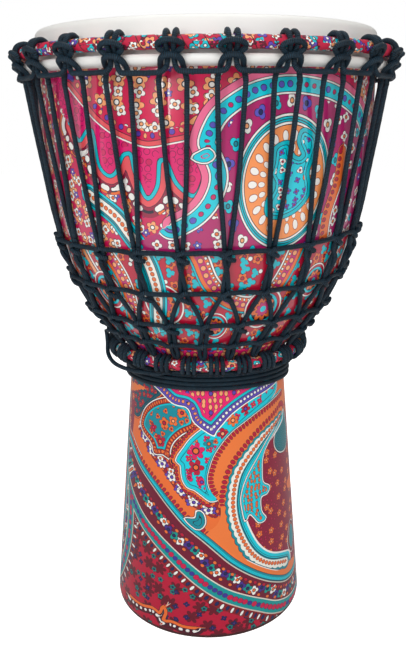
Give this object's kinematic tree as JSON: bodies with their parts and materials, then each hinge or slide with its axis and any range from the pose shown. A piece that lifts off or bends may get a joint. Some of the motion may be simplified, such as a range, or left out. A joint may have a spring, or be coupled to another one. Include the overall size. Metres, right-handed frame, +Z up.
{
  "type": "djembe",
  "caption": "Goblet drum with a printed cloth covering and a rope-tuned white head, standing on its open stem.",
  "frame": {"origin": "centre of the base, on the floor", "axes": "+Z up along the drum's axis, the front faces -Y"},
  "size_m": [0.38, 0.38, 0.6121],
  "materials": {
    "shell_plastic": "moulded, satin inside",
    "printed_cloth": "printed cotton under clear varnish",
    "white_skin": "smooth, stretched",
    "ring_steel": "drawn rod, welded",
    "ring_cloth": "printed cotton strip, wound",
    "braided_rope": "braided polyester"
  },
  "bodies": {
    "drum": {"shell": "shell_plastic", "bowl_cloth": "printed_cloth", "stem_cloth": "printed_cloth", "drum_head": "white_skin", "bottom_ring": "ring_steel", "bottom_ring_cloth": "ring_cloth", "tension_rope_upper": "braided_rope", "tension_rope_lower": "braided_rope", "weave_rope_row_1": "braided_rope", "weave_rope_row_2": "braided_rope", "weave_rope_row_3": "braided_rope", "weave_rope_row_4": "braided_rope", "bottom_hitches": "braided_rope", "waist_belt_rope": "braided_rope", "tail_rope_drop": "braided_rope"},
    "crown": {"flesh_ring": "ring_steel", "crown_ring": "ring_steel", "crown_ring_cloth": "ring_cloth", "crown_hitches": "braided_rope", "crown_cradle_rope": "braided_rope", "tension_rope_bights": "braided_rope"}
  },
  "joints": [
    {"name": "crown_draw", "type": "slide", "parent": "drum", "child": "crown", "axis": [0, 0, 1], "range_m": [-0.004, 0.002], "deforming": ["drum_head", "tension_rope_upper"]}
  ]
}
